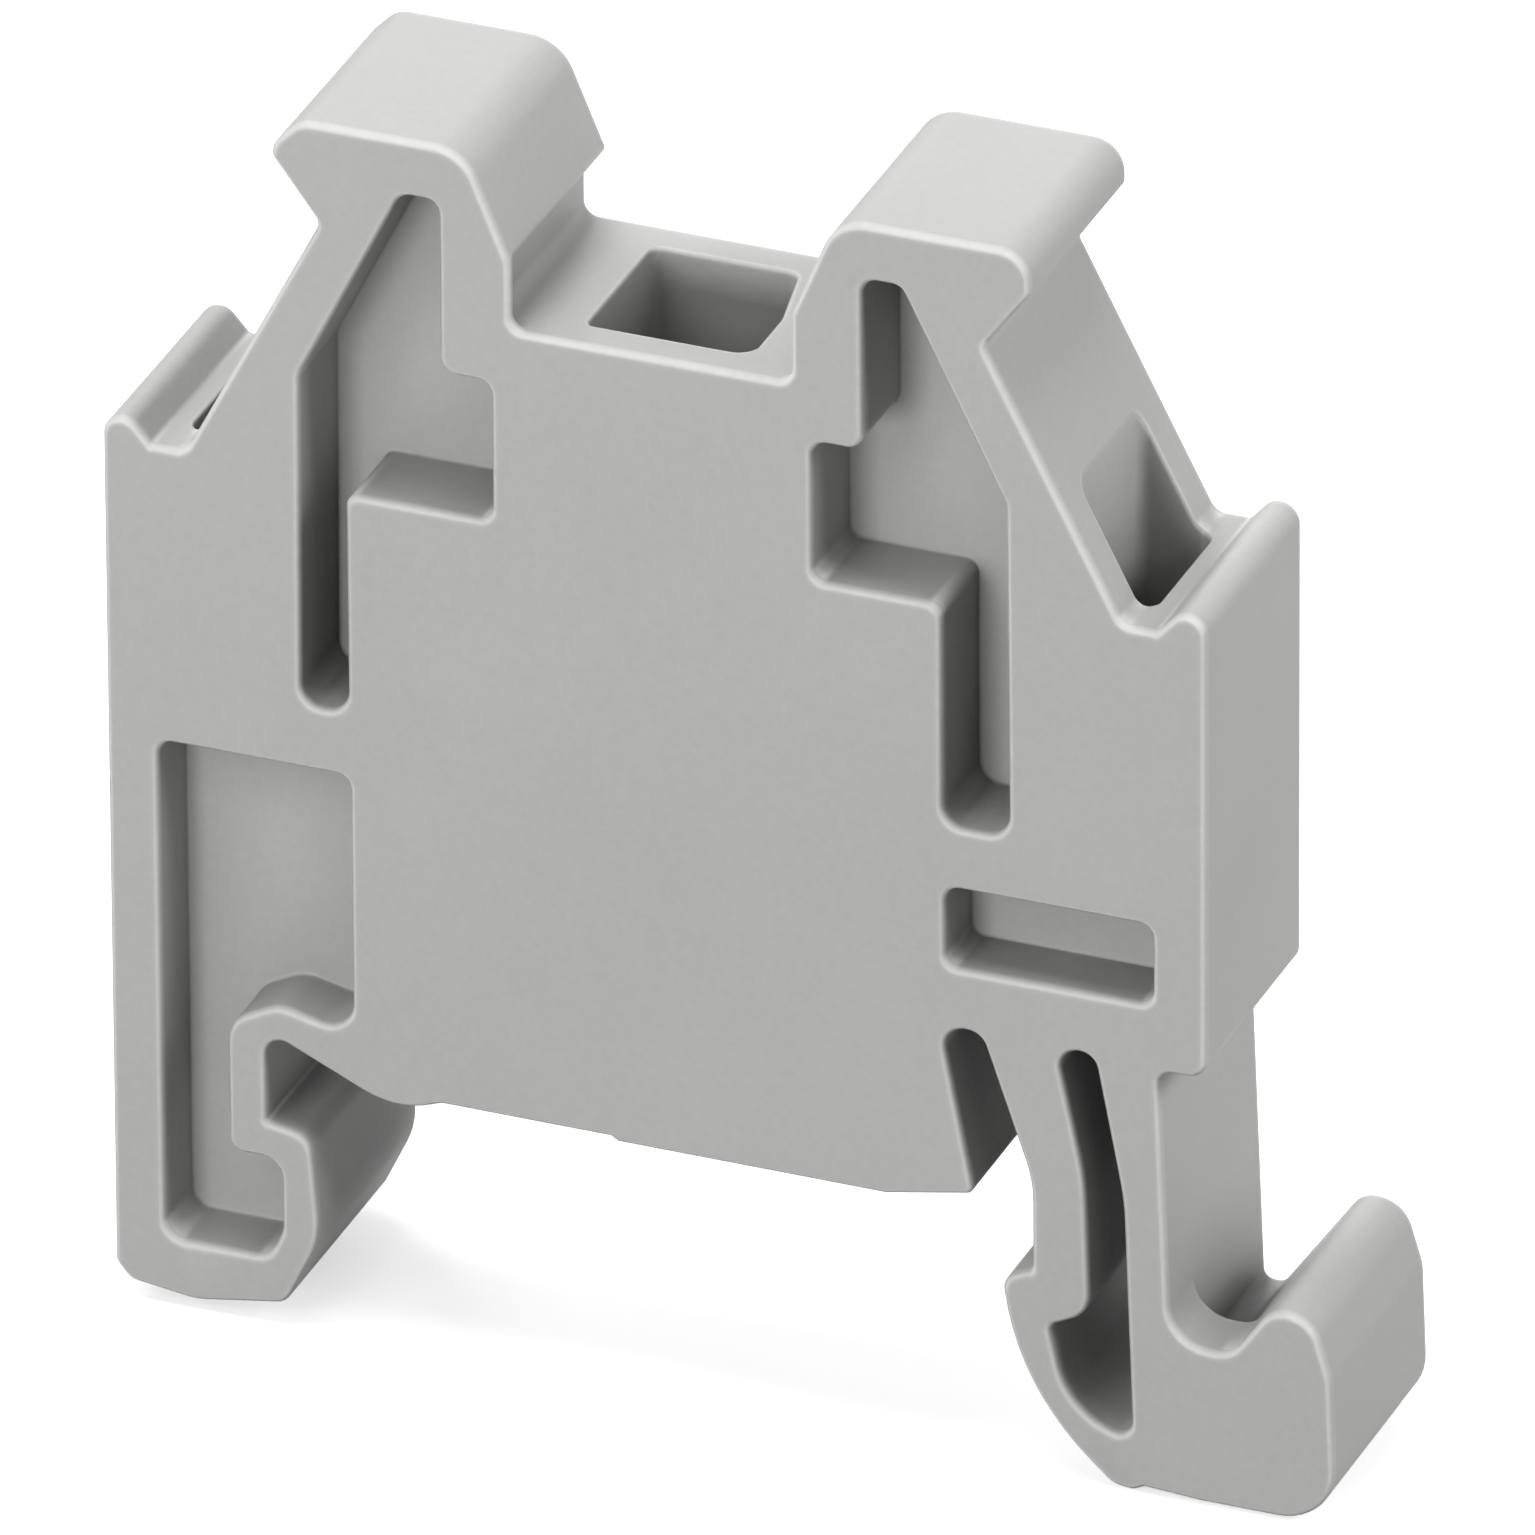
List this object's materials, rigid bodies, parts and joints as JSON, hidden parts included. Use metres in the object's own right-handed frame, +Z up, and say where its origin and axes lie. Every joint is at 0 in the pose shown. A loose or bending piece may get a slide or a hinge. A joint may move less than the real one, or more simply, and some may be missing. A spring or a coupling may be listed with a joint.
{
  "type": "din rail end stop",
  "caption": "Clip-on end stop for a 35 mm top-hat rail: block with a fixed hook, a springy latch foot and clip towers for a marker.",
  "frame": {"origin": "middle of the 35 mm rail's width and of the stop's thickness, on the plane where the block's underside meets the rail", "axes": "+X across the rail from the fixed hook to the springy foot, +Y along the rail, +Z up away from the rail"},
  "size_m": [0.0555, 0.0112, 0.058],
  "materials": {
    "moulding": "fine matt, light grey polyamide"
  },
  "bodies": {
    "root": {"end_stop": "moulding"}
  },
  "joints": []
}
